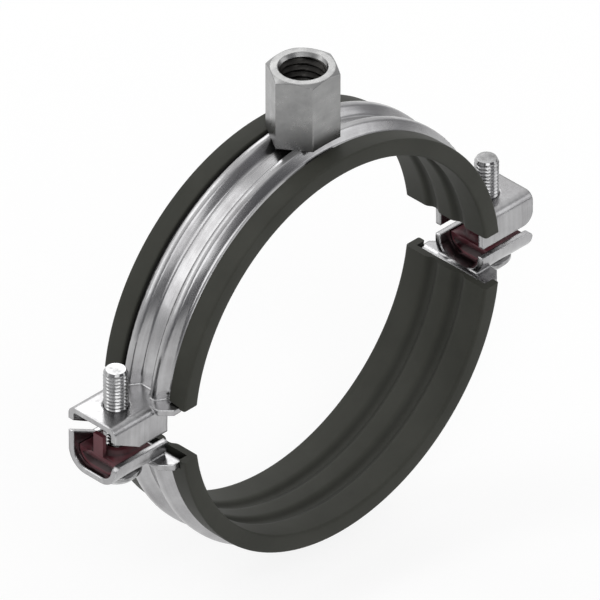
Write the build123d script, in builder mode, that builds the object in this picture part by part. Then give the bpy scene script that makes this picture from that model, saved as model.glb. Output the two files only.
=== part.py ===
from build123d import *
import math
import os

# Rubber lined pipe clamp: two half bands of galvanised sheet with folded ears,
# a hexagonal connection boss welded on the crown, two lining halves and two
# captive closing screws.  Millimetres.  The origin is the pipe's centre,
# Y runs along the pipe, X across the ears and Z up the boss.

# ---------------------------------------------------------------- driving sizes
# rubber lining
bore_radius = 40.0
lining_width = 22.1
lining_base = 1.5
lip_thickness = 1.0
lip_rounding = 0.4
lip_gap = 0.15
groove_depth = 0.8
groove_width = 2.8
groove_centre = 3.6
lining_end = 5.6
lower_drop = 0.9

# half bands
sheet = 1.25
edge_cover = 1.65
bead_height = 2.4
bead_centre = 3.7
bead_crest_width = 1.6
bead_slope_width = 1.4
valley_height = 0.35
bead_rounding = 0.8

# ears
ear_side_beyond_bead = 0.6
ear_beyond_screw = 6.5
ear_above_lining_end = 0.2
upper_flange_depth = 6.8
upper_fold_radius = 1.9
upper_tip_rounding = 2.6
cutback_height = 3.7
cutback_length = 6.5
bend_radius = 2.4
bend_reach = 3.0
ledge_reach = 4.0
ledge_corner = 2.2
flange_root_gap = 0.8
thread_collar_wall = 1.1
thread_collar_depth = 1.6

closing_gap = 2.3
trough_depth = 5.1
trough_fold_radius = 4.4
trough_tip_rounding = 1.4
raised_wall_clearance = 0.3

# closing screws
screw_radius = 2.5
screw_from_band = 8.25
tip_above_ear = 8.4
screw_tip_chamfer = 0.5
thread_clearance = 0.1
screw_hole_clearance = 0.25
head_radius = 5.0
head_height = 2.2
head_rim = 0.8
head_face_radius = 3.4
recess_across = 1.2
recess_depth = 1.3
recess_arm = 2.4

# captive retainers
retainer_side_clearance = 0.15
retainer_inner_reach = 4.6
retainer_below_wall = 0.3
retainer_collar_radius = 3.9
retainer_collar_height = 1.1
retainer_tab_width = 4.0
retainer_tab_thickness = 0.9
retainer_tab_gap = 0.3
retainer_tab_clearance = 1.25

# connection boss
boss_across_flats = 13.0
boss_height = 15.05
large_thread_minor = 8.5
small_thread_minor = 6.8
large_thread_depth = 8.0
bore_chamfer = 0.7

# ---------------------------------------------------------------- worked-out sizes
band_inner = bore_radius + lining_base
edge_outer = band_inner + sheet
crest_outer = edge_outer + bead_height
lip_outer = edge_outer + lip_thickness
screw_spread = edge_outer + screw_from_band
ear_tip = screw_spread + ear_beyond_screw
boss_top = crest_outer + boss_height
crest_half = bead_crest_width / 2
bead_foot = bead_centre + crest_half + bead_slope_width
ear_half = bead_foot + ear_side_beyond_bead
band_half = lining_width / 2 - edge_cover
lip_inner_edge = ear_half + lip_gap
ledge_end = edge_outer + ledge_reach
upper_ear_top = lining_end + ear_above_lining_end
upper_plate_under = upper_ear_top - sheet
upper_flange_end = upper_ear_top - upper_flange_depth
screw_tip = upper_ear_top + tip_above_ear
trough_wall_top = upper_flange_end - closing_gap
trough_bottom = trough_wall_top - trough_depth
trough_floor = trough_bottom + sheet
trough_half = ear_half - sheet
flange_root = edge_outer + flange_root_gap
thread_hole_radius = screw_radius + thread_clearance
thread_collar_radius = thread_hole_radius + thread_collar_wall
retainer_outer_reach = thread_collar_radius + retainer_tab_gap + retainer_tab_thickness
raised_wall_drop = closing_gap + raised_wall_clearance

os.makedirs("parts", exist_ok=True)


def mirrored(points):
    """The points of one half of a profile, then the other half mirrored in the middle."""
    return points + [(-across, out) for across, out in reversed(points)]


# ---------------------------------------------------------------- sheet sections
# Section across the band: flat edges, two raised beads and a shallow valley between.
half_band_outline = [
    (band_half, edge_outer),
    (bead_foot, edge_outer),
    (bead_centre + crest_half, crest_outer),
    (bead_centre - crest_half, crest_outer),
    (bead_centre - crest_half - bead_slope_width, edge_outer + valley_height),
]

with BuildSketch(Plane.YZ) as band_section:
    with BuildLine():
        Polyline(*mirrored(half_band_outline))
        offset(amount=sheet, side=Side.LEFT, kind=Kind.INTERSECTION)
    make_face()
    fillet(band_section.vertices().group_by(Axis.Y)[-1], bead_rounding)

# Section across an upper ear: a flat top with a flange folded down at each side.
with BuildSketch(Plane.YZ) as upper_ear_section:
    with BuildLine():
        FilletPolyline(
            *mirrored([(ear_half, upper_flange_end), (ear_half, upper_ear_top)]),
            radius=upper_fold_radius,
        )
        offset(amount=sheet, side=Side.LEFT, kind=Kind.ARC)
    make_face()

# Section across a lower ear: a round-bottomed trough, open upwards.
with BuildSketch(Plane.YZ) as trough_section:
    with BuildLine():
        FilletPolyline(
            *mirrored([(ear_half, trough_wall_top), (ear_half, trough_bottom)]),
            radius=trough_fold_radius,
        )
        offset(amount=sheet, side=Side.RIGHT, kind=Kind.ARC)
    make_face()


def end_bend(centre, plate_low, ring_low, rounded):
    """The sheet turned out at a band's end, and the corner that the turn rounds away."""
    with BuildSketch(Plane.XZ) as square_turn:
        with Locations((0, centre)):
            Circle(edge_outer)
            Circle(band_inner, mode=Mode.SUBTRACT)
        with Locations((0, ring_low)):
            Rectangle(ear_tip, sheet + bend_reach, align=Align.MIN, mode=Mode.INTERSECT)
        with Locations((band_inner, plate_low)):
            Rectangle(ledge_end - band_inner, sheet, align=Align.MIN)
    with BuildSketch(Plane.XZ) as turn:
        add(square_turn.sketch)
        fillet(turn.vertices().group_by(Axis.Y)[rounded].sort_by(Axis.X)[0], bend_radius)
    with BuildSketch(Plane.XZ) as corner:
        add(square_turn.sketch)
        add(turn.sketch, mode=Mode.SUBTRACT)
    return turn.sketch, corner.sketch


# ---------------------------------------------------------------- upper half band
# The band turns outwards at its end, full width, and narrows to a flat folded ear.
upper_turn, upper_corner = end_bend(0, upper_plate_under, upper_plate_under, 0)

with BuildPart() as upper_arc:
    revolve(band_section.sketch, axis=Axis.Y, revolution_arc=180)
    split(bisect_by=Plane.XY.offset(upper_ear_top), keep=Keep.TOP)
    extrude(upper_corner, amount=band_half, both=True, mode=Mode.SUBTRACT)

with BuildPart() as upper_ledge:
    extrude(upper_turn, amount=band_half, both=True)
    ledge_sides = upper_ledge.edges().filter_by(Axis.Z).group_by(Axis.X)[-1]
    chamfer(ledge_sides, ledge_corner)

# The left ear's flanges are cut back on a slope, from the tip inwards.
cutback_top = upper_flange_end + cutback_height
with BuildSketch(Plane.XZ) as flange_cutback:
    with BuildLine():
        Polyline(
            (-ear_tip, upper_flange_end),
            (-ear_tip, cutback_top),
            (-ear_tip + cutback_length, upper_flange_end),
            close=True,
        )
    make_face()

# One side is folded and drilled, then mirrored across the boss.
with BuildPart() as upper_band:
    extrude(upper_ear_section.sketch, amount=ear_tip)
    Cylinder(flange_root, 2 * lining_width, rotation=(90, 0, 0), mode=Mode.SUBTRACT)
    flange_ends = upper_band.edges().filter_by(Axis.Y).group_by(Axis.Z)[0]
    fillet(flange_ends.group_by(Axis.X)[-1], upper_tip_rounding)
    add(upper_ledge.part)
    add(upper_arc.part)
    with Locations((screw_spread, 0, upper_plate_under)):
        Cylinder(
            thread_collar_radius,
            thread_collar_depth,
            align=(Align.CENTER, Align.CENTER, Align.MAX),
        )
    with Locations((screw_spread, 0, upper_ear_top)):
        Hole(thread_hole_radius)
    mirror(about=Plane.YZ)
    extrude(flange_cutback.sketch, amount=ear_half, both=True, mode=Mode.SUBTRACT)

upper_band.part.label = "upper_band"
export_step(upper_band.part, "parts/upper_band.step")

# ---------------------------------------------------------------- lower half band
# The same sheet turned out into a trough, whose walls face up to the flanges above.
lower_centre = (0, 0, -lower_drop)
lower_plane = Plane(lower_centre, x_dir=(0, 1, 0), z_dir=(1, 0, 0))
lower_axis = Axis(lower_centre, (0, 1, 0))
lower_turn, lower_corner = end_bend(
    -lower_drop, trough_bottom, trough_bottom - bend_reach, -1
)

with BuildSketch(lower_plane) as lower_band_section:
    add(band_section.sketch_local)

with BuildPart() as lower_arc:
    revolve(lower_band_section.sketch, axis=lower_axis, revolution_arc=180)
    split(bisect_by=Plane.XY.offset(trough_bottom), keep=Keep.BOTTOM)
    extrude(lower_corner, amount=band_half, both=True, mode=Mode.SUBTRACT)

with BuildPart() as lower_ledge:
    extrude(lower_turn, amount=band_half, both=True)
    ledge_sides = lower_ledge.edges().filter_by(Axis.Z).group_by(Axis.X)[-1]
    chamfer(ledge_sides, ledge_corner)

with BuildPart() as lower_ear:
    extrude(trough_section.sketch, amount=ear_tip)
    with Locations(lower_centre):
        Cylinder(flange_root, 2 * lining_width, rotation=(90, 0, 0), mode=Mode.SUBTRACT)
    wall_ends = lower_ear.edges().filter_by(Axis.Y).group_by(Axis.Z)[-1]
    fillet(wall_ends.group_by(Axis.X)[-1], trough_tip_rounding)
    add(lower_ledge.part)
    with Locations((screw_spread, 0, trough_bottom)):
        Cylinder(screw_radius + screw_hole_clearance, 4 * sheet, mode=Mode.SUBTRACT)

# Behind the left screw the wall rises to the same slope, as a stop for the screw.
with BuildSketch(Plane.XZ.offset(-ear_half)) as raised_wall:
    with BuildLine():
        Polyline(
            (-ear_tip + trough_tip_rounding, trough_wall_top - sheet),
            (-ear_tip + cutback_length, trough_wall_top - sheet),
            (-ear_tip + cutback_length, trough_wall_top),
            (-ear_tip, cutback_top - raised_wall_drop),
            (-ear_tip, trough_wall_top - trough_tip_rounding),
            close=True,
        )
    make_face()

with BuildPart() as lower_band:
    add(lower_arc.part)
    add(lower_ear.part)
    mirror(about=Plane.YZ)
    extrude(raised_wall.sketch, amount=sheet)

lower_band.part.label = "lower_band"
export_step(lower_band.part, "parts/lower_band.step")

# ---------------------------------------------------------------- connection boss
# Hexagon bar, turned at the top, drilled for a large thread over a smaller one and
# shaped underneath to sit on the crests of both beads.
boss_corner_radius = boss_across_flats / math.sqrt(3)
boss_foot = math.sqrt(crest_outer**2 - boss_corner_radius**2)
corner_trim_drop = (boss_corner_radius - boss_across_flats / 2) / math.sqrt(3)

with BuildSketch(Plane.XZ) as turned_outline:
    with BuildLine():
        Polyline(
            (0, boss_foot),
            (boss_corner_radius, boss_foot),
            (boss_corner_radius, boss_top - corner_trim_drop),
            (boss_across_flats / 2, boss_top),
            (0, boss_top),
            close=True,
        )
    make_face()

with BuildPart() as connection_boss:
    with BuildSketch(Plane.XY.offset(boss_foot)):
        RegularPolygon(boss_across_flats / 2, 6, major_radius=False)
    extrude(amount=boss_top - boss_foot)
    revolve(turned_outline.sketch, axis=Axis.Z, mode=Mode.INTERSECT)
    Cylinder(crest_outer, lining_width, rotation=(90, 0, 0), mode=Mode.SUBTRACT)
    with Locations((0, 0, boss_top)):
        CounterBoreHole(small_thread_minor / 2, large_thread_minor / 2, large_thread_depth)
    mouth = connection_boss.faces().sort_by(Axis.Z)[-1].edges().filter_by(GeomType.CIRCLE)
    chamfer(mouth.sort_by(SortBy.RADIUS)[0], bore_chamfer)

connection_boss.part.label = "connection_boss"
export_step(connection_boss.part, "parts/connection_boss.step")

# ---------------------------------------------------------------- linings
# Rubber channel: a grooved bore face, side walls and lips turned over the band's edges.
with BuildSketch(Plane.YZ) as lining_section:
    with Locations((0, bore_radius)):
        Rectangle(lining_width, lip_outer - bore_radius, align=(Align.CENTER, Align.MIN))
    with Locations((0, band_inner)):
        Rectangle(
            2 * band_half,
            sheet,
            align=(Align.CENTER, Align.MIN),
            mode=Mode.SUBTRACT,
        )
    with Locations((0, band_inner)):
        Rectangle(
            2 * lip_inner_edge,
            lip_outer,
            align=(Align.CENTER, Align.MIN),
            mode=Mode.SUBTRACT,
        )
    outer_corners = lining_section.vertices().group_by(Axis.Y)[-1].sort_by(Axis.X)
    fillet([outer_corners[0], outer_corners[-1]], lip_rounding)
    with Locations((-groove_centre, bore_radius), (groove_centre, bore_radius)):
        Rectangle(
            groove_width,
            groove_depth,
            align=(Align.CENTER, Align.MIN),
            mode=Mode.SUBTRACT,
        )

# The lips stop short of the ledges where the band's ends turn out.
for label, centre, height, lip_end, kept in (
    ("upper_lining", 0, lining_end, upper_ear_top + lip_gap, Keep.TOP),
    ("lower_lining", -lower_drop, -lining_end, trough_bottom + lower_drop - lip_gap, Keep.BOTTOM),
):
    with BuildPart() as lining:
        revolve(lining_section.sketch, axis=Axis.Y)
        split(bisect_by=Plane.XY.offset(height), keep=kept)
        with BuildSketch(Plane.XZ) as lip_cut:
            Rectangle(2 * lip_outer, 2 * abs(lip_end))
            Circle(edge_outer, mode=Mode.SUBTRACT)
        extrude(amount=band_half, both=True, mode=Mode.SUBTRACT)
    lining.part.label = label
    export_step(lining.part.moved(Location((0, 0, centre))), f"parts/{label}.step")

# ---------------------------------------------------------------- closing screws
# Plain-ended screws, head down under the trough and tip up through the tapped ear.
head_bottom = trough_bottom - head_height
rim_bottom = trough_bottom - head_rim
shank_end = screw_radius - screw_tip_chamfer

for label, place in (("left_screw", -screw_spread), ("right_screw", screw_spread)):
    screw_axis = Axis((place, 0, 0), (0, 0, 1))
    with BuildPart() as screw:
        with BuildSketch(Plane.XZ.move(Location((place, 0, 0)))):
            with BuildLine():
                Polyline(
                    (0, head_bottom),
                    (0, screw_tip),
                    (shank_end, screw_tip),
                    (screw_radius, screw_tip - screw_tip_chamfer),
                    (screw_radius, trough_bottom),
                    (head_radius, trough_bottom),
                    (head_radius, rim_bottom),
                    (head_face_radius, head_bottom),
                    close=True,
                )
            make_face()
        revolve(axis=screw_axis)
        with BuildSketch(Plane((place, 0, head_bottom))):
            Rectangle(2 * recess_arm, recess_across)
            Rectangle(recess_across, 2 * recess_arm)
        extrude(amount=recess_depth, mode=Mode.SUBTRACT)
    screw.part.label = label
    export_step(screw.part, f"parts/{label}.step")

# ---------------------------------------------------------------- captive retainers
# A plastic block that fills each trough, grips the screw and ends in an upright tab.
block_half = trough_half - retainer_side_clearance
block_top = trough_wall_top - retainer_below_wall
block_corner = trough_fold_radius - sheet + retainer_side_clearance
block_length = retainer_inner_reach + retainer_outer_reach
tab_top = upper_plate_under - closing_gap - retainer_tab_clearance

for label, side in (("left_retainer", -1), ("right_retainer", 1)):
    centre = side * screw_spread
    inner_end = centre - side * retainer_inner_reach
    outer_end = centre + side * retainer_outer_reach
    with BuildPart() as retainer:
        with BuildSketch(Plane.YZ.offset(min(inner_end, outer_end))) as block_section:
            with Locations((0, trough_floor)):
                Rectangle(
                    2 * block_half,
                    block_top - trough_floor,
                    align=(Align.CENTER, Align.MIN),
                )
            fillet(block_section.vertices().group_by(Axis.Y)[0], block_corner)
        extrude(amount=block_length)
        with Locations((centre, 0, block_top)):
            Cylinder(
                retainer_collar_radius,
                retainer_collar_height,
                align=(Align.CENTER, Align.CENTER, Align.MIN),
            )
        with Locations((outer_end - side * retainer_tab_thickness / 2, 0, block_top)):
            Box(
                retainer_tab_thickness,
                retainer_tab_width,
                tab_top - block_top,
                align=(Align.CENTER, Align.CENTER, Align.MIN),
            )
        with Locations((centre, 0, block_top + retainer_collar_height)):
            Hole(thread_hole_radius)
    retainer.part.label = label
    export_step(retainer.part, f"parts/{label}.step")
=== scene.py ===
"""Rubber lined pipe clamp: two beaded steel half bands, their rubber linings, a threaded
boss, two closing screws and their plastic retainers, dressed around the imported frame."""

import math

import bmesh
import bpy
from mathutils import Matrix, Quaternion, Vector


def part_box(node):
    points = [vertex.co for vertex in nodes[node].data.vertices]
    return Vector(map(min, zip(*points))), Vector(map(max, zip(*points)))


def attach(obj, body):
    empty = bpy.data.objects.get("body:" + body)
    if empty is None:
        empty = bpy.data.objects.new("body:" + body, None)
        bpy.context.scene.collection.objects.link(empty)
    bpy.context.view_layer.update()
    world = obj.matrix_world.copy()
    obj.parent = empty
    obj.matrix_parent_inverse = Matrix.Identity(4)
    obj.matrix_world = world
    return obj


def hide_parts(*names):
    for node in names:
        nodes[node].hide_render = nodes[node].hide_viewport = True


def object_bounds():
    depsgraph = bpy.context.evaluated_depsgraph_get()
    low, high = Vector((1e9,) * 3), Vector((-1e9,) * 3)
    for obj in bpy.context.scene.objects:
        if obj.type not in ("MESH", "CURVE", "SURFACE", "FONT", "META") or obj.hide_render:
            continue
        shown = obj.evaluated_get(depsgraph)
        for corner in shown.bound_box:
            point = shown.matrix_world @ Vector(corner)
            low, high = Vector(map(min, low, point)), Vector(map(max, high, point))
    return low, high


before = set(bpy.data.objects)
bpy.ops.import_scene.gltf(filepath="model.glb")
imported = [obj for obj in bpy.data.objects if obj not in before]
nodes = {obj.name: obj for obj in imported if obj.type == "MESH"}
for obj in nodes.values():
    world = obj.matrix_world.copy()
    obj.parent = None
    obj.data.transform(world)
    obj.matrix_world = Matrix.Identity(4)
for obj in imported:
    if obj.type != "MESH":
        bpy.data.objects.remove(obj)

cad_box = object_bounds()
mm = 0.001

# ------------------------------------------------------------------ viewpoint
# A long lens on the isometric direction: 45 degrees round to the left and 35 above,
# aimed so that the pipe's axis falls just right of the middle and below it.
view_azimuth = math.radians(-45.0)
view_elevation = math.radians(34.9)
view_distance = 3.14
frame_pixels = 600
pixels_per_metre = 5129.0
pipe_centre_right = 302.9 - frame_pixels / 2
pipe_centre_down = 321.9 - frame_pixels / 2

view_back = Vector((
    math.sin(view_azimuth) * math.cos(view_elevation),
    -math.cos(view_azimuth) * math.cos(view_elevation),
    math.sin(view_elevation),
))
view_turn = (-view_back).to_track_quat("-Z", "Y")
view_right = view_turn @ Vector((1, 0, 0))
view_up = view_turn @ Vector((0, 1, 0))
aim = (pipe_centre_down * view_up - pipe_centre_right * view_right) / pixels_per_metre

camera_data = bpy.data.cameras.new("camera")
camera_data.sensor_width = 36.0
camera_data.lens = camera_data.sensor_width * pixels_per_metre * view_distance / frame_pixels
camera_data.clip_end = 100.0
camera = bpy.data.objects.new("camera", camera_data)
camera.rotation_mode = "QUATERNION"
camera.rotation_quaternion = view_turn
camera.location = aim + view_back * view_distance
bpy.context.scene.collection.objects.link(camera)
bpy.context.scene.camera = camera
bpy.context.scene.view_settings.view_transform = "Standard"

# ------------------------------------------------------------------ studio
# A white floor just below where the lower half reaches when it is let down, inside a light
# tent that is bright behind and overhead and dim in front, with four soft lamps.  The small
# lamp stands close, so that it shines in the left ear's top and just misses the right one's.
floor_half = 6.0
floor_gap = 0.3 * mm
lower_half_travel = 7.0 * mm
floor_height = cad_box[0].z - lower_half_travel - floor_gap
floor_white = (0.50, 0.50, 0.50, 1)
floor_seen = (0.26, 0.26, 0.26, 1)
floor_glow = 0.80
tent_soft = 0.42
tent_bright_way = (0.10, 0.70, 0.70)
tent_cloths = (
    (0.00, (0.05, 0.05, 0.055, 1)),
    (0.42, (0.16, 0.16, 0.17, 1)),
    (0.62, (0.50, 0.50, 0.51, 1)),
    (0.85, (1.00, 1.00, 1.00, 1)),
)
white = (1, 1, 1, 1)


def new_material(name):
    """A material with an empty node tree, and that tree."""
    material = bpy.data.materials.new(name)
    material.use_nodes = True
    material.node_tree.nodes.clear()
    return material, material.node_tree


def add_node(tree, kind, **settings):
    """A node of that kind; settings name its properties, or its sockets by their labels."""
    node = tree.nodes.new("ShaderNode" + kind)
    for label, value in settings.items():
        if hasattr(node, label):
            setattr(node, label, value)
        else:
            node.inputs[label.replace("_", " ")].default_value = value
    return node


floor_mesh = bpy.data.meshes.new("floor")
floor_corners = ((-1, -1), (1, -1), (1, 1), (-1, 1))
floor_mesh.from_pydata(
    [(x * floor_half, y * floor_half, floor_height) for x, y in floor_corners],
    [],
    [(0, 1, 2, 3)],
)
floor = bpy.data.objects.new("floor", floor_mesh)
bpy.context.scene.collection.objects.link(floor)

floor_paint, tree = new_material("floor_paint")
floor_out = add_node(tree, "OutputMaterial")
plain_floor = add_node(tree, "BsdfDiffuse", Color=floor_white)
seen_floor = add_node(tree, "BsdfDiffuse", Color=floor_seen)
glow = add_node(tree, "Emission", Color=white, Strength=floor_glow)
lit_floor = add_node(tree, "AddShader")
floor_path = add_node(tree, "LightPath")
floor_sight = add_node(tree, "Math", operation="ADD")
floor_shown = add_node(tree, "Math", operation="ADD", use_clamp=True)
floor_mix = add_node(tree, "MixShader")
tree.links.new(seen_floor.outputs[0], lit_floor.inputs[0])
tree.links.new(glow.outputs[0], lit_floor.inputs[1])
tree.links.new(floor_path.outputs["Is Camera Ray"], floor_sight.inputs[0])
tree.links.new(floor_path.outputs["Is Transmission Ray"], floor_sight.inputs[1])
tree.links.new(floor_sight.outputs[0], floor_shown.inputs[0])
tree.links.new(floor_path.outputs["Is Glossy Ray"], floor_shown.inputs[1])
tree.links.new(floor_shown.outputs[0], floor_mix.inputs[0])
tree.links.new(plain_floor.outputs[0], floor_mix.inputs[1])
tree.links.new(lit_floor.outputs[0], floor_mix.inputs[2])
tree.links.new(floor_mix.outputs[0], floor_out.inputs[0])
floor.data.materials.append(floor_paint)

world = bpy.data.worlds.new("light_tent")
bpy.context.scene.world = world
world.use_nodes = True
tree = world.node_tree
tree.nodes.clear()
tent_out = add_node(tree, "OutputWorld")
soft_light = add_node(tree, "Background", Color=white, Strength=tent_soft)
backdrop = add_node(tree, "Background", Color=white, Strength=1.0)
tent_cloth = add_node(tree, "Background", Strength=1.0)
tent_place = add_node(tree, "TexCoord")
tent_side = add_node(tree, "VectorMath", operation="DOT_PRODUCT")
tent_side.inputs[1].default_value = tent_bright_way
tent_share = add_node(tree, "MapRange")
tent_share.inputs["From Min"].default_value = -1.0
tent_ramp = add_node(tree, "ValToRGB")
tent_ramp.color_ramp.elements[0].color = tent_cloths[0][1]
tent_ramp.color_ramp.elements[1].color = tent_cloths[-1][1]
tent_ramp.color_ramp.elements[1].position = tent_cloths[-1][0]
for position, cloth in tent_cloths[1:-1]:
    tent_ramp.color_ramp.elements.new(position).color = cloth
tent_path = add_node(tree, "LightPath")
tent_sight = add_node(tree, "Math", operation="MAXIMUM")
shiny_mix = add_node(tree, "MixShader")
tent_mix = add_node(tree, "MixShader")
tree.links.new(tent_place.outputs["Generated"], tent_side.inputs[0])
tree.links.new(tent_side.outputs["Value"], tent_share.inputs["Value"])
tree.links.new(tent_share.outputs[0], tent_ramp.inputs[0])
tree.links.new(tent_ramp.outputs[0], tent_cloth.inputs["Color"])
tree.links.new(tent_path.outputs["Is Glossy Ray"], shiny_mix.inputs[0])
tree.links.new(soft_light.outputs[0], shiny_mix.inputs[1])
tree.links.new(tent_cloth.outputs[0], shiny_mix.inputs[2])
tree.links.new(tent_path.outputs["Is Camera Ray"], tent_sight.inputs[0])
tree.links.new(tent_path.outputs["Is Transmission Ray"], tent_sight.inputs[1])
tree.links.new(tent_sight.outputs[0], tent_mix.inputs[0])
tree.links.new(shiny_mix.outputs[0], tent_mix.inputs[1])
tree.links.new(backdrop.outputs[0], tent_mix.inputs[2])
tree.links.new(tent_mix.outputs[0], tent_out.inputs[0])

for lamp_name, lamp_place, lamp_width, lamp_height, lamp_turn, lamp_power in (
    ("key_lamp", (-0.7, -1.1, 0.95), 1.1, 1.1, 0, 8.0),
    ("fill_lamp", (1.1, -0.9, 0.6), 0.9, 0.9, 0, 3.0),
    ("back_strip", (-0.72, 0.95, 0.92), 1.7, 0.45, -40, 3.9),
    ("top_strip", (0.25, 0.365, 0.365), 0.2, 0.2, 0, 0.28),
):
    lamp_data = bpy.data.lights.new(lamp_name, "AREA")
    lamp_data.shape = "RECTANGLE"
    lamp_data.size = lamp_width
    lamp_data.size_y = lamp_height
    lamp_data.energy = lamp_power
    lamp = bpy.data.objects.new(lamp_name, lamp_data)
    lamp.location = lamp_place
    lamp.rotation_mode = "QUATERNION"
    lamp.rotation_quaternion = (
        Vector(lamp_place).to_track_quat("Z", "Y")
        @ Quaternion((0, 0, 1), math.radians(lamp_turn))
    )
    lamp.visible_camera = False
    bpy.context.scene.collection.objects.link(lamp)

# ------------------------------------------------------------------ half bands
# Galvanised mild steel strip 1.25 mm thick, rolled with two stiffening beads, bent into a
# half ring and folded at its ends into ears.  The zinc is bright where the tool burnished it.
zinc_bright = (0.48, 0.48, 0.485, 1)
zinc_grey = (0.29, 0.285, 0.29, 1)
zinc_edge_radius = 0.60 * mm
lower_half_drop = 0.9 * mm
strip_outside = 42.2 * mm
strip_blend = 0.05 * mm
bead_zone = 6.6 * mm
bead_fade = 1.0 * mm
bead_level = (0.5, 0.5, 0.5, 1)
bead_steepest = math.radians(60)
# Across the strip in millimetres, and the share of the steepest turn there.
bead_turns = (
    (0.00, 0.00),
    (1.15, 0.00),
    (1.90, -0.85),
    (2.55, -0.80),
    (3.35, -0.10),
    (4.05, 0.10),
    (4.85, 0.85),
    (5.45, 0.90),
    (6.05, 0.00),
)
drift_along = 0.03
lines_in_height = 0.6
lines_in_tarnish = 0.35
float_a, float_b = 2, 3
vector_a, vector_b, vector_out = 4, 5, 1
colour_a, colour_b, colour_out = 6, 7, 2


def new_effect(name, inputs, outputs):
    """A shader node group with named sockets: its tree, and its input and output nodes."""
    tree = bpy.data.node_groups.new(name, "ShaderNodeTree")
    for label, kind, value in inputs:
        socket = tree.interface.new_socket(label, in_out="INPUT", socket_type="NodeSocket" + kind)
        socket.default_value = value
    for label, kind in outputs:
        tree.interface.new_socket(label, in_out="OUTPUT", socket_type="NodeSocket" + kind)
    return tree, tree.nodes.new("NodeGroupInput"), tree.nodes.new("NodeGroupOutput")


def use_effect(tree, effect, **settings):
    """A node that uses an effect's group; settings name its input sockets."""
    node = tree.nodes.new("ShaderNodeGroup")
    node.node_tree = effect
    for label, value in settings.items():
        node.inputs[label.replace("_", " ")].default_value = value
    return node


# Edges of pressed sheet: rounded over a small radius, and burnished there.
pressed_edge, tree_in, tree_out = new_effect(
    "pressed_edge",
    [("Radius", "Float", 0.0003)],
    [("Normal", "Vector"), ("Wear", "Float")],
)
edge_round = add_node(pressed_edge, "Bevel", samples=6)
edge_true = add_node(pressed_edge, "NewGeometry")
edge_turn = add_node(pressed_edge, "VectorMath", operation="DOT_PRODUCT")
edge_wear = add_node(pressed_edge, "MapRange")
edge_wear.inputs["From Min"].default_value = 0.995
edge_wear.inputs["From Max"].default_value = 0.80
pressed_edge.links.new(tree_in.outputs["Radius"], edge_round.inputs["Radius"])
pressed_edge.links.new(edge_round.outputs[0], edge_turn.inputs[0])
pressed_edge.links.new(edge_true.outputs["Normal"], edge_turn.inputs[1])
pressed_edge.links.new(edge_turn.outputs["Value"], edge_wear.inputs["Value"])
pressed_edge.links.new(edge_round.outputs[0], tree_out.inputs["Normal"])
pressed_edge.links.new(edge_wear.outputs[0], tree_out.inputs["Wear"])

# Fine lines that rolling or extruding leaves round the ring, and a cloudy bloom over them.
drawn_skin, tree_in, tree_out = new_effect(
    "drawn_skin",
    [("Lines", "Float", 1500.0), ("Cloud", "Float", 90.0), ("Grain", "Float", 3000.0)],
    [("Line", "Float"), ("Cloud", "Float"), ("Height", "Float")],
)
skin_place = add_node(drawn_skin, "TexCoord")
skin_split = add_node(drawn_skin, "SeparateXYZ")
skin_flat = add_node(drawn_skin, "CombineXYZ")
skin_radius = add_node(drawn_skin, "VectorMath", operation="LENGTH")
skin_section = add_node(drawn_skin, "CombineXYZ")
skin_slow = add_node(drawn_skin, "VectorMath", operation="SCALE")
skin_slow.inputs["Scale"].default_value = drift_along
skin_along = add_node(drawn_skin, "VectorMath", operation="ADD")
lines = add_node(drawn_skin, "TexNoise", Detail=3.0, Roughness=0.6)
clouds = add_node(drawn_skin, "TexNoise", Detail=6.0, Roughness=0.6)
grain = add_node(drawn_skin, "TexNoise", Detail=2.0)
cloud_range = add_node(drawn_skin, "MapRange")
cloud_range.inputs["From Min"].default_value = 0.32
cloud_range.inputs["From Max"].default_value = 0.70
line_range = add_node(drawn_skin, "MapRange")
line_range.inputs["From Min"].default_value = 0.30
line_range.inputs["From Max"].default_value = 0.70
height_sum = add_node(drawn_skin, "Math", operation="MULTIPLY_ADD")
height_sum.inputs[1].default_value = lines_in_height
drawn_skin.links.new(skin_place.outputs["Object"], skin_split.inputs[0])
drawn_skin.links.new(skin_split.outputs["X"], skin_flat.inputs["X"])
drawn_skin.links.new(skin_split.outputs["Z"], skin_flat.inputs["Z"])
drawn_skin.links.new(skin_flat.outputs[0], skin_radius.inputs[0])
drawn_skin.links.new(skin_radius.outputs["Value"], skin_section.inputs["X"])
drawn_skin.links.new(skin_split.outputs["Y"], skin_section.inputs["Y"])
drawn_skin.links.new(skin_place.outputs["Object"], skin_slow.inputs[0])
drawn_skin.links.new(skin_section.outputs[0], skin_along.inputs[0])
drawn_skin.links.new(skin_slow.outputs[0], skin_along.inputs[1])
drawn_skin.links.new(skin_along.outputs[0], lines.inputs["Vector"])
drawn_skin.links.new(skin_place.outputs["Object"], clouds.inputs["Vector"])
drawn_skin.links.new(skin_place.outputs["Object"], grain.inputs["Vector"])
drawn_skin.links.new(tree_in.outputs["Lines"], lines.inputs["Scale"])
drawn_skin.links.new(tree_in.outputs["Cloud"], clouds.inputs["Scale"])
drawn_skin.links.new(tree_in.outputs["Grain"], grain.inputs["Scale"])
drawn_skin.links.new(clouds.outputs[0], cloud_range.inputs["Value"])
drawn_skin.links.new(lines.outputs[0], line_range.inputs["Value"])
drawn_skin.links.new(lines.outputs[0], height_sum.inputs[0])
drawn_skin.links.new(grain.outputs[0], height_sum.inputs[2])
drawn_skin.links.new(line_range.outputs[0], tree_out.inputs["Line"])
drawn_skin.links.new(cloud_range.outputs[0], tree_out.inputs["Cloud"])
drawn_skin.links.new(height_sum.outputs[0], tree_out.inputs["Height"])

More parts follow.
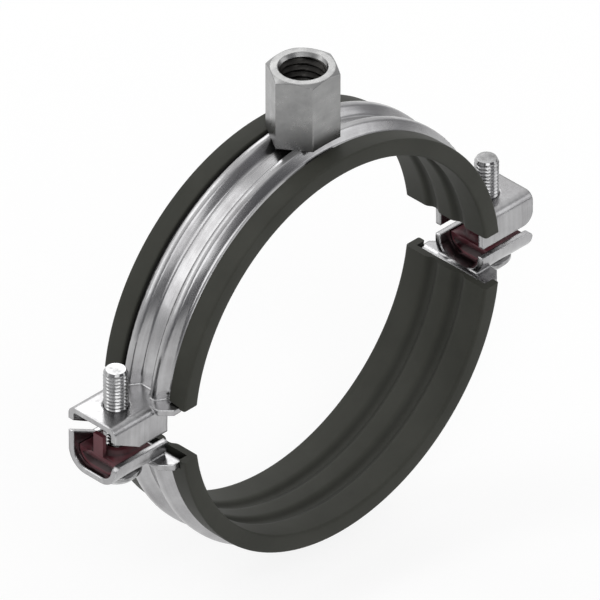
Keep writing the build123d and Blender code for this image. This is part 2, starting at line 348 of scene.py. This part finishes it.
# How the rolled beads turn the strip's surface across its width: soft at feet and crests.
rolled_beads, tree_in, tree_out = new_effect(
    "rolled_beads",
    [("Drop", "Float", 0.0), ("Side", "Float", 1.0), ("Start", "Float", 0.007)],
    [("Normal", "Vector"), ("Share", "Float")],
)
bead_place = add_node(rolled_beads, "TexCoord")
bead_split = add_node(rolled_beads, "SeparateXYZ")
bead_height = add_node(rolled_beads, "Math", operation="ADD")
bead_flat = add_node(rolled_beads, "CombineXYZ")
bead_outward = add_node(rolled_beads, "VectorMath", operation="NORMALIZE")
bead_radius = add_node(rolled_beads, "VectorMath", operation="LENGTH")
bead_across = add_node(rolled_beads, "Math", operation="ABSOLUTE")
bead_hand = add_node(rolled_beads, "Math", operation="SIGN")
bead_part = add_node(rolled_beads, "MapRange")
bead_part.inputs["From Max"].default_value = bead_zone
bead_ramp = add_node(rolled_beads, "ValToRGB")
bead_ramp.color_ramp.interpolation = "EASE"
bead_ramp.color_ramp.elements[0].color = bead_level
bead_ramp.color_ramp.elements[1].color = bead_level
for across, turn in bead_turns[1:]:
    level = 0.5 + 0.5 * turn
    place = across * mm / bead_zone
    bead_ramp.color_ramp.elements.new(place).color = (level, level, level, 1)
bead_angle = add_node(rolled_beads, "MapRange")
bead_angle.inputs["To Min"].default_value = -bead_steepest
bead_angle.inputs["To Max"].default_value = bead_steepest
bead_signed = add_node(rolled_beads, "Math", operation="MULTIPLY")
bead_sine = add_node(rolled_beads, "Math", operation="SINE")
bead_cosine = add_node(rolled_beads, "Math", operation="COSINE")
bead_rise = add_node(rolled_beads, "VectorMath", operation="SCALE")
bead_lean = add_node(rolled_beads, "CombineXYZ")
bead_normal = add_node(rolled_beads, "VectorMath", operation="ADD")
bead_outer = add_node(rolled_beads, "MapRange")
bead_outer.inputs["From Min"].default_value = strip_outside - strip_blend
bead_outer.inputs["From Max"].default_value = strip_outside + strip_blend
bead_narrow = add_node(rolled_beads, "Math", operation="LESS_THAN")
bead_narrow.inputs[1].default_value = bead_zone
bead_sided = add_node(rolled_beads, "Math", operation="MULTIPLY")
bead_past = add_node(rolled_beads, "Math", operation="SUBTRACT")
bead_begin = add_node(rolled_beads, "MapRange")
bead_begin.inputs["From Max"].default_value = bead_fade
bead_share = add_node(rolled_beads, "Math", operation="MULTIPLY")
bead_whole = add_node(rolled_beads, "Math", operation="MULTIPLY")
for source, target in (
    (bead_place.outputs["Object"], bead_split.inputs[0]),
    (bead_split.outputs["Z"], bead_height.inputs[0]),
    (tree_in.outputs["Drop"], bead_height.inputs[1]),
    (bead_split.outputs["X"], bead_flat.inputs["X"]),
    (bead_height.outputs[0], bead_flat.inputs["Z"]),
    (bead_flat.outputs[0], bead_outward.inputs[0]),
    (bead_flat.outputs[0], bead_radius.inputs[0]),
    (bead_split.outputs["Y"], bead_across.inputs[0]),
    (bead_split.outputs["Y"], bead_hand.inputs[0]),
    (bead_across.outputs[0], bead_part.inputs["Value"]),
    (bead_part.outputs[0], bead_ramp.inputs[0]),
    (bead_ramp.outputs[0], bead_angle.inputs["Value"]),
    (bead_angle.outputs[0], bead_signed.inputs[0]),
    (bead_hand.outputs[0], bead_signed.inputs[1]),
    (bead_signed.outputs[0], bead_sine.inputs[0]),
    (bead_signed.outputs[0], bead_cosine.inputs[0]),
    (bead_outward.outputs[0], bead_rise.inputs[0]),
    (bead_cosine.outputs[0], bead_rise.inputs["Scale"]),
    (bead_sine.outputs[0], bead_lean.inputs["Y"]),
    (bead_rise.outputs[0], bead_normal.inputs[0]),
    (bead_lean.outputs[0], bead_normal.inputs[1]),
    (bead_radius.outputs["Value"], bead_outer.inputs["Value"]),
    (bead_across.outputs[0], bead_narrow.inputs[0]),
    (bead_split.outputs["Z"], bead_sided.inputs[0]),
    (tree_in.outputs["Side"], bead_sided.inputs[1]),
    (bead_sided.outputs[0], bead_past.inputs[0]),
    (tree_in.outputs["Start"], bead_past.inputs[1]),
    (bead_past.outputs[0], bead_begin.inputs["Value"]),
    (bead_outer.outputs[0], bead_share.inputs[0]),
    (bead_narrow.outputs[0], bead_share.inputs[1]),
    (bead_share.outputs[0], bead_whole.inputs[0]),
    (bead_begin.outputs[0], bead_whole.inputs[1]),
    (bead_normal.outputs[0], tree_out.inputs["Normal"]),
    (bead_whole.outputs[0], tree_out.inputs["Share"]),
):
    rolled_beads.links.new(source, target)


def bead_surface(material, drop, side, start):
    """Gives a zinc material the beads' own turn of the surface where the strip is beaded."""
    tree = material.node_tree
    beads = use_effect(tree, rolled_beads, Drop=drop, Side=side, Start=start)
    blend = add_node(tree, "Mix", data_type="VECTOR")
    dent = next(node for node in tree.nodes if node.bl_idname == "ShaderNodeBump")
    edge_normal = dent.inputs["Normal"].links[0].from_socket
    tree.links.new(beads.outputs["Share"], blend.inputs[0])
    tree.links.new(edge_normal, blend.inputs[vector_a])
    tree.links.new(beads.outputs["Normal"], blend.inputs[vector_b])
    tree.links.new(blend.outputs[vector_out], dent.inputs["Normal"])


def zinc_material(name, grey, bright, smooth, rough, lines_scale, cloud_scale, edge_radius, depth):
    """Zinc over steel: clouded between two greys, brighter and smoother on its edges."""
    material, tree = new_material(name)
    out = add_node(tree, "OutputMaterial")
    metal = add_node(tree, "BsdfPrincipled", Metallic=1.0)
    edge = use_effect(tree, pressed_edge, Radius=edge_radius)
    skin = use_effect(tree, drawn_skin, Lines=lines_scale, Cloud=cloud_scale, Grain=3000.0)
    tarnish = add_node(tree, "Mix", data_type="FLOAT")
    tarnish.inputs[0].default_value = lines_in_tarnish
    polish = add_node(tree, "Math", operation="MAXIMUM")
    shade = add_node(tree, "Mix", data_type="RGBA")
    shade.inputs[colour_a].default_value = grey
    shade.inputs[colour_b].default_value = bright
    dull = add_node(tree, "MapRange")
    dull.inputs["To Min"].default_value = rough
    dull.inputs["To Max"].default_value = smooth
    dent = add_node(tree, "Bump", Strength=0.5, Distance=depth)
    tree.links.new(skin.outputs["Cloud"], tarnish.inputs[float_a])
    tree.links.new(skin.outputs["Line"], tarnish.inputs[float_b])
    tree.links.new(tarnish.outputs[0], polish.inputs[0])
    tree.links.new(edge.outputs["Wear"], polish.inputs[1])
    tree.links.new(polish.outputs[0], shade.inputs[0])
    tree.links.new(polish.outputs[0], dull.inputs["Value"])
    tree.links.new(shade.outputs[colour_out], metal.inputs["Base Color"])
    tree.links.new(dull.outputs[0], metal.inputs["Roughness"])
    tree.links.new(skin.outputs["Height"], dent.inputs["Height"])
    tree.links.new(edge.outputs["Normal"], dent.inputs["Normal"])
    tree.links.new(dent.outputs[0], metal.inputs["Normal"])
    tree.links.new(metal.outputs[0], out.inputs[0])
    return material


def paint(piece, material):
    """Gives a piece this material alone."""
    piece.data.materials.clear()
    piece.data.materials.append(material)


for node_name, drop, side, start in (
    ("upper_band", 0.0, 1.0, 7.0 * mm),
    ("lower_band", lower_half_drop, -1.0, 10.0 * mm),
):
    galvanised = zinc_material(
        "galvanised_" + node_name, zinc_grey, zinc_bright, smooth=0.17, rough=0.30,
        lines_scale=900.0, cloud_scale=130.0, edge_radius=zinc_edge_radius, depth=0.0015 * mm,
    )
    bead_surface(galvanised, drop, side, start)
    paint(nodes[node_name], galvanised)

# ------------------------------------------------------------------ connection boss
# A hexagon bar 13 mm across its flats, turned at the top, bored and tapped for two rod
# sizes, shaped underneath to both beads and welded to them.
boss_low, boss_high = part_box("connection_boss")
boss_flat = (boss_high.y - boss_low.y) / 2
boss_top = boss_high.z
boss_rim_inset = 0.15 * mm
boss_rim = boss_flat - boss_rim_inset
bead_crest = 45.15 * mm
large_minor = 4.25 * mm
large_pitch = 1.5 * mm
large_groove = 0.70 * mm
large_depth = 8.0 * mm
small_minor = 3.4 * mm
small_pitch = 1.25 * mm
small_groove = 0.55 * mm
mouth_chamfer = 0.7 * mm
bore_margin = 0.05 * mm
boss_turns = 96
saddle_steps = 3
rows_per_pitch = 6
thread_gain = 1.3
thread_root_flat = 0.15
bar_grey = (0.25, 0.25, 0.25, 1)
bar_bright = (0.34, 0.34, 0.337, 1)
# Near-black metal down the tapped bore: painted shade of its depth.
bore_shade_dark = (0.020, 0.019, 0.018, 1)
bore_shade_grey = (0.060, 0.058, 0.055, 1)


def new_piece(name, build, body, replaced, materials, crease=35.0):
    """Makes the object of a bmesh, smooth but for its creases, and rides it on its body."""
    bmesh.ops.recalc_face_normals(build, faces=build.faces)
    mesh = bpy.data.meshes.new(name)
    build.to_mesh(mesh)
    build.free()
    mesh.shade_smooth()
    mesh.set_sharp_from_angle(angle=math.radians(crease))
    for material in materials:
        mesh.materials.append(material)
    piece = bpy.data.objects.new(name, mesh)
    bpy.context.scene.collection.objects.link(piece)
    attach(piece, body)
    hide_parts(replaced)


def join_rings(build, rings, round_again=True):
    """Quads between each ring of points and the next, and from the last to the first."""
    rows = [[build.verts.new(point) for point in ring] for ring in rings]
    following = rows[1:] + (rows[:1] if round_again else [])
    for row, after in zip(rows, following):
        for at in range(len(row)):
            beside = (at + 1) % len(row)
            build.faces.new((row[at], row[beside], after[beside], after[at]))
    return rows


def thread_rise(height, angle, pitch):
    """How far up a V thread's flank this place is: 0 in the root, 1 on the crest."""
    phase = (height / pitch - angle / math.tau) % 1.0
    return min(1.0, max(0.0, thread_gain * (1 - abs(2 * phase - 1)) - thread_root_flat))


def thread_heights(top, bottom, pitch):
    """Heights from top to bottom, close enough together to show each turn of the thread."""
    count = math.ceil((top - bottom) / pitch * rows_per_pitch)
    return [top + (bottom - top) * step / count for step in range(count + 1)]


boss_build = bmesh.new()
large_floor = boss_top - large_depth
large_rows = thread_heights(boss_top - mouth_chamfer, large_floor, large_pitch)
small_rows = thread_heights(large_floor - small_groove, bead_crest, small_pitch)
boss_rings = []
for turn in range(boss_turns):
    angle = math.tau * turn / boss_turns
    reach = boss_flat / math.cos(angle % (math.pi / 3) - math.pi / 6)
    outline = [
        (reach, boss_top - (reach - boss_rim) / math.sqrt(3)),
        (boss_rim, boss_top),
        (large_minor + mouth_chamfer, boss_top),
    ]
    for height in large_rows:
        groove = large_groove * (1 - thread_rise(height, angle, large_pitch))
        outline.append((large_minor + groove, height))
    for height in small_rows:
        groove = small_groove * (1 - thread_rise(height, angle, small_pitch))
        outline.append((small_minor + groove, height))
    for step in range(saddle_steps + 1):
        radius = small_minor + (reach - small_minor) * step / saddle_steps
        saddle = math.sqrt(bead_crest**2 - (radius * math.cos(angle))**2)
        outline.append((radius, saddle))
    boss_rings.append([
        Vector((radius * math.cos(angle), radius * math.sin(angle), height))
        for radius, height in outline
    ])
join_rings(boss_build, boss_rings)
# Faces down the bore get the near-black metal: painted shade.
bore_edge = large_minor + large_groove + bore_margin
for face in boss_build.faces:
    centre = face.calc_center_median()
    inside = centre.xy.length < bore_edge and bead_crest < centre.z < boss_top - mouth_chamfer / 2
    face.material_index = 1 if inside else 0
bar_steel = zinc_material(
    "boss_steel", bar_grey, bar_bright, smooth=0.23, rough=0.36,
    lines_scale=900.0, cloud_scale=260.0, edge_radius=0.30 * mm, depth=0.006 * mm,
)
bore_painted_shade = zinc_material(
    "tapped_bore_painted_shade", bore_shade_dark, bore_shade_grey, smooth=0.35, rough=0.50,
    lines_scale=900.0, cloud_scale=260.0, edge_radius=0.10 * mm, depth=0.006 * mm,
)
new_piece("threaded_boss", boss_build, "upper_half", "connection_boss",
          [bar_steel, bore_painted_shade], crease=25.0)

# ------------------------------------------------------------------ linings
# Extruded rubber channel, pressed over both edges of each half band: two soft grooves in
# the bore, a lip turned over each edge, both ends cut square.
rubber_black = (0.036, 0.037, 0.030, 1)
rubber_worn = (0.052, 0.053, 0.044, 1)
lining_low, lining_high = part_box("upper_lining")
lining_half = (lining_high.y - lining_low.y) / 2
bore = 40.0 * mm
band_inside = 41.5 * mm
band_outside = 42.75 * mm
lip_outside = 43.75 * mm
band_edge = 9.4 * mm
lip_edge = 6.65 * mm
lip_ease = 0.3 * mm
no_lip_gap = 0.01 * mm
groove_centre = 3.6 * mm
groove_mouth = 1.7 * mm
groove_floor = 0.55 * mm
groove_deep = 0.8 * mm
groove_round = 0.6 * mm
bore_round = 0.7 * mm
shoulder_round = 0.45 * mm
lip_round = 0.35 * mm
lip_root_round = 0.1 * mm
band_round = 0.02 * mm
lining_end = 5.6 * mm
corner_steps = 4
ring_steps = 88
square_cut_until = math.radians(32)
# Painted shade in the hollows of rubber and plastic: within this reach, ambient occlusion darkens
# the base colour down to the darkest share.
hollow_shade_reach = 3.0 * mm
hollow_shade_deepest = 0.72
hollow_shade_shallowest = 0.97
hollow_shade_darkest = 0.25


def round_corners(corners):
    """Closed outline through (across, out, radius) corners, each turned by a short arc."""
    outline = []
    for at, (across, out, radius) in enumerate(corners):
        here = Vector((across, out))
        before = Vector(corners[at - 1][:2]) - here
        after = Vector(corners[(at + 1) % len(corners)][:2]) - here
        reach = min(radius, 0.45 * before.length, 0.45 * after.length)
        start = here + before.normalized() * reach
        end = here + after.normalized() * reach
        for step in range(corner_steps + 1):
            part = step / corner_steps
            outline.append((1 - part)**2 * start + 2 * part * (1 - part) * here + part**2 * end)
    return outline


def lining_outline(lip):
    """Half a channel's corners from the middle of the bore out, then the other half."""
    half = [
        (groove_centre - groove_mouth, bore, groove_round),
        (groove_centre - groove_floor, bore + groove_deep, groove_round),
        (groove_centre + groove_floor, bore + groove_deep, groove_round),
        (groove_centre + groove_mouth, bore, groove_round),
        (lining_half, bore, bore_round),
        (lining_half, lip_outside, shoulder_round),
        (lip, lip_outside, lip_round),
        (lip, band_outside, lip_root_round),
        (band_edge, band_outside, band_round),
        (band_edge, band_inside, band_round),
    ]
    other_half = [(-across, out, radius) for across, out, radius in reversed(half)]
    return round_corners(half + other_half)


def lining_piece(name, side, drop, lip_end, body):
    """One lining half; its ends and its lips' ends are cut level, as the halves meet."""
    full_lip = lining_outline(lip_edge)
    no_lip = lining_outline(band_edge - no_lip_gap)
    first = math.asin(lining_end / bore)
    lip_first = math.asin(lip_end / bore)
    lip_full = math.asin((lip_end + lip_ease) / bore)
    lip_span = math.pi - 2 * lip_full
    middle = [lip_full + lip_span * step / ring_steps for step in range(ring_steps + 1)]
    stations = [(first, no_lip), (lip_first, no_lip)] + [(angle, full_lip) for angle in middle]
    stations += [(math.pi - lip_first, no_lip), (math.pi - first, no_lip)]
    rings = []
    for angle, outline in stations:
        from_end = min(angle, math.pi - angle)
        eased = min(1.0, max(0.0, (from_end - first) / square_cut_until))
        eased = eased * eased * (3 - 2 * eased)
        ring = []
        for across, out in outline:
            level = math.asin(min(1.0, bore * math.sin(from_end) / out))
            true_angle = from_end * eased + level * (1 - eased)
            sideways = math.copysign(math.cos(true_angle), math.cos(angle)) * out
            ring.append(Vector((sideways, across, side * out * math.sin(true_angle) - drop)))
        rings.append(ring)
    build = bmesh.new()
    rows = join_rings(build, rings, round_again=False)
    build.faces.new(rows[0])
    build.faces.new(list(reversed(rows[-1])))
    new_piece(name + "_channel", build, body, name, [rubber])


def moulded_material(name, dark, pale, rough, shine, lines_scale, cloud_scale, depth):
    """A matt rubber or plastic skin, paler where the bloom lies, with painted shade darkening its
    hollows.
    """
    material, tree = new_material(name)
    out = add_node(tree, "OutputMaterial")
    skin = add_node(tree, "BsdfPrincipled", Roughness=rough, Specular_IOR_Level=shine)
    finish = use_effect(tree, drawn_skin, Lines=lines_scale, Cloud=cloud_scale, Grain=3200.0)
    shade = add_node(tree, "Mix", data_type="RGBA")
    shade.inputs[colour_a].default_value = dark
    shade.inputs[colour_b].default_value = pale
    relief = add_node(tree, "Bump", Strength=0.6, Distance=depth)
    # Painted shade: ambient occlusion darkens the base colour in grooves and hollows.
    hollow_shade = add_node(tree, "AmbientOcclusion", samples=8, only_local=True, Distance=hollow_shade_reach)
    shade_share = add_node(tree, "MapRange")
    shade_share.inputs["From Min"].default_value = hollow_shade_deepest
    shade_share.inputs["From Max"].default_value = hollow_shade_shallowest
    shade_share.inputs["To Min"].default_value = hollow_shade_darkest
    shaded_colour = add_node(tree, "VectorMath", operation="SCALE")
    tree.links.new(finish.outputs["Cloud"], shade.inputs[0])
    tree.links.new(hollow_shade.outputs["AO"], shade_share.inputs["Value"])
    tree.links.new(shade.outputs[colour_out], shaded_colour.inputs[0])
    tree.links.new(shade_share.outputs[0], shaded_colour.inputs["Scale"])
    tree.links.new(shaded_colour.outputs[0], skin.inputs["Base Color"])
    tree.links.new(finish.outputs["Height"], relief.inputs["Height"])
    tree.links.new(relief.outputs[0], skin.inputs["Normal"])
    tree.links.new(skin.outputs[0], out.inputs[0])
    return material


rubber = moulded_material(
    "lining_rubber", rubber_black, rubber_worn, rough=0.60, shine=0.25,
    lines_scale=1500.0, cloud_scale=60.0, depth=0.02 * mm,
)
lining_piece("upper_lining", 1, drop=0.0, lip_end=5.95 * mm, body="upper_half")
lining_piece("lower_lining", -1, drop=lower_half_drop, lip_end=7.65 * mm, body="lower_half")

# ------------------------------------------------------------------ closing screws
# Bright zinc plated pan-head screws with a rolled M5 thread and a cross recess, put in
# from below through the retainers and tapped into the upper ears.
shank_radius = 2.5 * mm
shank_pitch = 0.8 * mm
shank_groove = 0.34 * mm
shank_turns = 48
tip_run_out = 0.8 * mm
tip_inset = 0.15 * mm
head_height = 2.2 * mm
head_rim_insets = ((0.15 * mm, 0.0), (0.0, 0.15 * mm), (0.0, 0.8 * mm), (0.2 * mm, 1.05 * mm))
head_face_radii = ((3.9 * mm, 2.02 * mm), (3.3 * mm, head_height))
recess_reach = 2.4 * mm
recess_arm_half = 0.6 * mm
recess_depth = 1.3 * mm
recess_floor_share = 0.6
smallest_sine = 0.01
plate_grey = (0.20, 0.20, 0.20, 1)
plate_bright = (0.56, 0.56, 0.565, 1)
screw_angles = [math.tau * turn / shank_turns for turn in range(shank_turns)]
bright_zinc = zinc_material(
    "zinc_plate", plate_grey, plate_bright, smooth=0.14, rough=0.26,
    lines_scale=900.0, cloud_scale=300.0, edge_radius=0.15 * mm, depth=0.004 * mm,
)


def shank_reach(angle, height, tip_top):
    """The threaded shank's radius in this direction; the thread runs out at the tip."""
    root = shank_radius - shank_groove
    threaded = root + shank_groove * thread_rise(height, angle, shank_pitch)
    near_tip = min(1.0, (tip_top - height) / tip_run_out)
    return min(threaded, root - tip_inset + (shank_groove + tip_inset) * near_tip)


def recess_edge(angle):
    """How far the cross recess reaches from its middle in this direction."""
    off_arm = (angle + math.pi / 4) % (math.pi / 2) - math.pi / 4
    side = recess_arm_half / max(abs(math.sin(off_arm)), smallest_sine)
    return min(recess_reach, side)


def screw_ring(middle, height, radii):
    """Points round a screw's axis at one height, one for each of its angles."""
    return [
        Vector((middle + radius * math.cos(angle), radius * math.sin(angle), height))
        for angle, radius in zip(screw_angles, radii)
    ]


for screw_name in ("left_screw", "right_screw"):
    screw_low, screw_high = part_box(screw_name)
    screw_x = (screw_low.x + screw_high.x) / 2
    head_radius = (screw_high.x - screw_low.x) / 2
    head_top = screw_low.z + head_height
    tip_top = screw_high.z
    rings = []
    for height in thread_heights(tip_top, head_top, shank_pitch):
        radii = [shank_reach(angle, height, tip_top) for angle in screw_angles]
        rings.append(screw_ring(screw_x, height, radii))
    head_rim = [(head_radius - inset, down) for inset, down in head_rim_insets]
    for radius, down in (*head_rim, *head_face_radii):
        rings.append(screw_ring(screw_x, head_top - down, [radius] * shank_turns))
    for share, down in ((1.0, head_height), (recess_floor_share, head_height - recess_depth)):
        radii = [share * recess_edge(angle) for angle in screw_angles]
        rings.append(screw_ring(screw_x, head_top - down, radii))
    screw_build = bmesh.new()
    screw_rows = join_rings(screw_build, rings, round_again=False)
    screw_build.faces.new(screw_rows[0])
    screw_build.faces.new(list(reversed(screw_rows[-1])))
    new_piece(screw_name + "_threaded", screw_build, screw_name, screw_name,
              [bright_zinc], crease=50.0)

# ------------------------------------------------------------------ retainers
# Moulded plastic blocks clipped into the troughs to keep the screws from falling out: a
# block with a collar round the screw and a tab beyond it, cored out at both ends.
plastic_dark = (0.090, 0.016, 0.024, 1)
plastic_pale = (0.165, 0.040, 0.052, 1)
screw_centre = 51.0 * mm
outer_reach = 4.9 * mm
inner_reach = 4.6 * mm
core_depth = 1.4 * mm
core_top = -4.9 * mm
core_corner = 2.75 * mm
core_corner_across = 1.8 * mm
core_corner_height = -3.85 * mm
core_corner_steps = 6
tab_half = 1.3 * mm
tab_wide = 2.6 * mm
tab_foot = -3.6 * mm
tab_over = 1.5 * mm
tab_inner_reach = 3.95 * mm
past = 0.5 * mm
weld_gap = 0.001 * mm
plastic = moulded_material(
    "retainer_plastic", plastic_dark, plastic_pale, rough=0.42, shine=0.4,
    lines_scale=300.0, cloud_scale=200.0, depth=0.02 * mm,
)


def core_section():
    """The hollow's outline across the trough, its lower corners following the fold."""
    side = []
    first = math.asin((core_corner_height - core_top) / core_corner)
    last = math.pi / 2
    for step in range(core_corner_steps + 1):
        angle = first + (last - first) * step / core_corner_steps
        across = core_corner_across + core_corner * math.cos(angle)
        side.append((across, core_corner_height - core_corner * math.sin(angle)))
    return side + [(-across, height) for across, height in reversed(side)]


def add_prism(build, section, start, end):
    """A closed bar with that section of (across, height), from one x to another."""
    rings = [[Vector((x, across, height)) for across, height in section] for x in (start, end)]
    rows = join_rings(build, rings, round_again=False)
    build.faces.new(rows[0])
    build.faces.new(list(reversed(rows[1])))


def cut_away(source_mesh, cutter_build):
    """The bmesh of a mesh with the cutter's bars taken out of it."""
    bmesh.ops.recalc_face_normals(cutter_build, faces=cutter_build.faces)
    cutter_mesh = bpy.data.meshes.new("cutter")
    cutter_build.to_mesh(cutter_mesh)
    cutter_build.free()
    cutter = bpy.data.objects.new("cutter", cutter_mesh)
    block = bpy.data.objects.new("block", source_mesh.copy())
    for thing in (cutter, block):
        bpy.context.scene.collection.objects.link(thing)
    weld = block.modifiers.new("weld", "WELD")
    weld.merge_threshold = weld_gap
    cut = block.modifiers.new("cut", "BOOLEAN")
    cut.operation = "DIFFERENCE"
    cut.solver = "EXACT"
    cut.object = cutter
    depsgraph = bpy.context.evaluated_depsgraph_get()
    result = bmesh.new()
    result.from_mesh(block.evaluated_get(depsgraph).to_mesh())
    for thing in (cutter, block):
        bpy.data.objects.remove(thing)
    return result


for node_name, side in (("left_retainer", -1), ("right_retainer", 1)):
    cutter_build = bmesh.new()
    outer_end = side * (screw_centre + outer_reach)
    inner_end = side * (screw_centre - inner_reach)
    add_prism(cutter_build, core_section(), outer_end - side * core_depth, outer_end + side * past)
    add_prism(cutter_build, core_section(), inner_end - side * past, inner_end + side * core_depth)
    tab_start = side * (screw_centre + tab_inner_reach)
    for hand in (-1, 1):
        beside_tab = [
            (hand * tab_half, tab_foot),
            (hand * tab_wide, tab_foot),
            (hand * tab_wide, tab_over),
            (hand * tab_half, tab_over),
        ]
        add_prism(cutter_build, beside_tab, tab_start, outer_end + side * past)
    retainer_build = cut_away(nodes[node_name].data, cutter_build)
    new_piece(node_name + "_moulding", retainer_build, "lower_half", node_name,
              [plastic])
